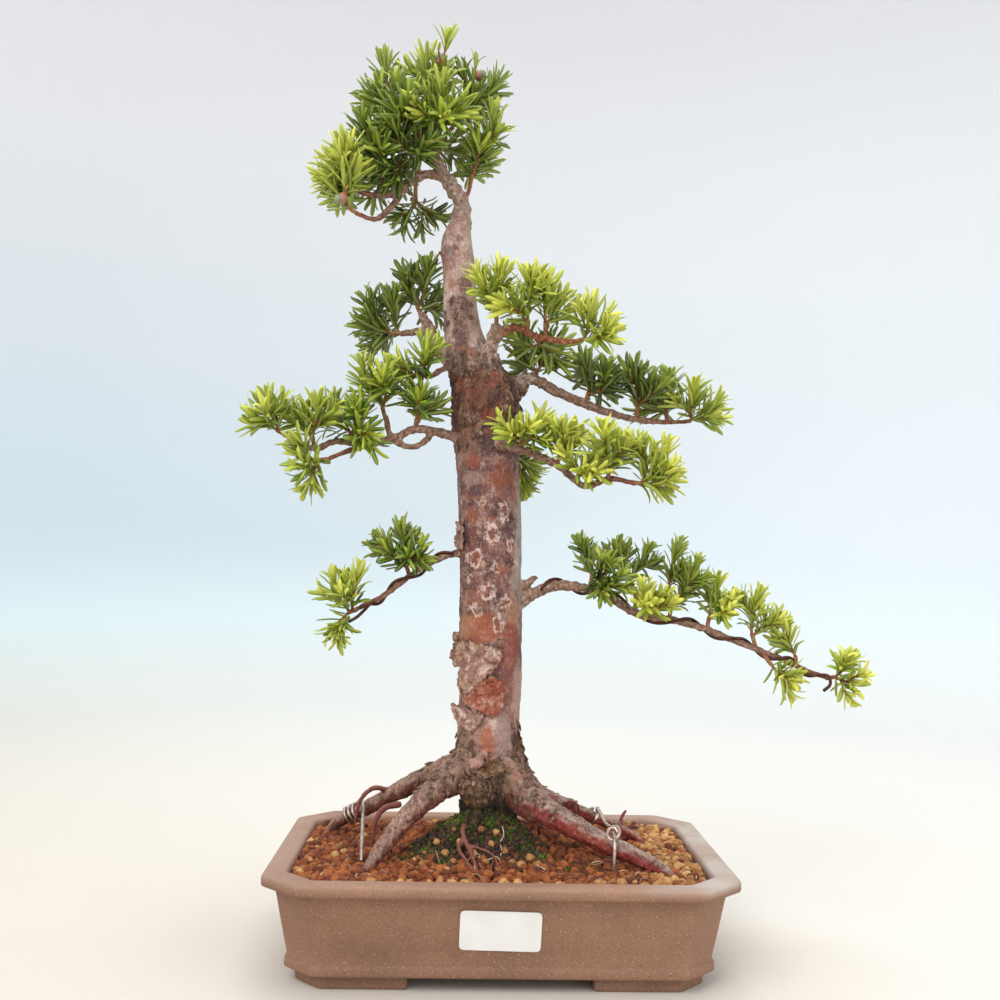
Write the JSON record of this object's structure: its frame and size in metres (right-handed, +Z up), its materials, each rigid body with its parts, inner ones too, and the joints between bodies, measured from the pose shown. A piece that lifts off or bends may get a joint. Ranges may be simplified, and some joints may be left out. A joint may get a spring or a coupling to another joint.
{
  "type": "japanese yew bonsai",
  "caption": "Informal upright yew tree with long wired side branches, needle sprays and surface roots, in a shallow clay pot with cut corners.",
  "frame": {"origin": "on the surface that the pot stands on, under the middle of the whole tree's box", "axes": "+Z up along the trunk, +X to the right of the front view, -Y towards the viewer"},
  "size_m": [0.3866, 0.185, 0.5792],
  "materials": {
    "clay": "unglazed, fine speckle, matt",
    "soil": "granular, matt",
    "bark": "flaking bark, rough",
    "new_needles": "soft gloss",
    "old_needles": "soft gloss",
    "brown_wire": "brown anodised, satin",
    "silver_wire": "dull, weathered",
    "label": "coated, satin",
    "drain_mesh": "matt"
  },
  "bodies": {
    "root": {"pot": "clay", "drain_mesh_left": "drain_mesh", "drain_mesh_right": "drain_mesh", "wood": "bark", "soil": "soil", "wire_low_left": "brown_wire", "wire_low_right": "brown_wire", "guy_wire_left": "silver_wire", "guy_wire_right": "silver_wire", "label": "label", "crown_tip": "new_needles", "crown_top_right": "old_needles", "crown_top_left": "old_needles", "crown_front": "new_needles", "crown_front_left": "old_needles", "crown_left": "old_needles", "crown_left_end": "new_needles", "crown_left_low": "new_needles", "crown_right": "new_needles", "crown_back": "old_needles", "crown_back_left": "old_needles", "crown_under": "old_needles", "crown_heart": "old_needles", "upper_left_top": "old_needles", "upper_left_end": "old_needles", "mid_left_end": "new_needles", "mid_left_low": "new_needles", "mid_left_up": "new_needles", "mid_left_middle": "old_needles", "mid_left_top": "new_needles", "mid_left_knot": "new_needles", "mid_left_near": "old_needles", "upper_right_stub": "new_needles", "upper_right_front": "new_needles", "upper_right_middle": "new_needles", "upper_right_end": "new_needles", "upper_right_low": "new_needles", "right_base": "old_needles", "right_middle": "old_needles", "right_stem": "old_needles", "right_far": "old_needles", "right_end": "new_needles", "mid_right_base": "new_needles", "mid_right_knot": "new_needles", "mid_right_middle": "new_needles", "mid_right_up": "new_needles", "mid_right_end": "new_needles", "back_near": "old_needles", "back_end": "old_needles", "low_left_up": "old_needles", "low_left_end": "new_needles", "low_right_inner": "old_needles", "low_right_back": "old_needles", "low_right_bright": "new_needles", "low_right_twig": "old_needles", "low_right_middle": "new_needles", "low_right_far": "new_needles", "low_right_hang": "new_needles", "low_right_rise": "new_needles", "low_right_tip": "new_needles"}
  },
  "joints": []
}
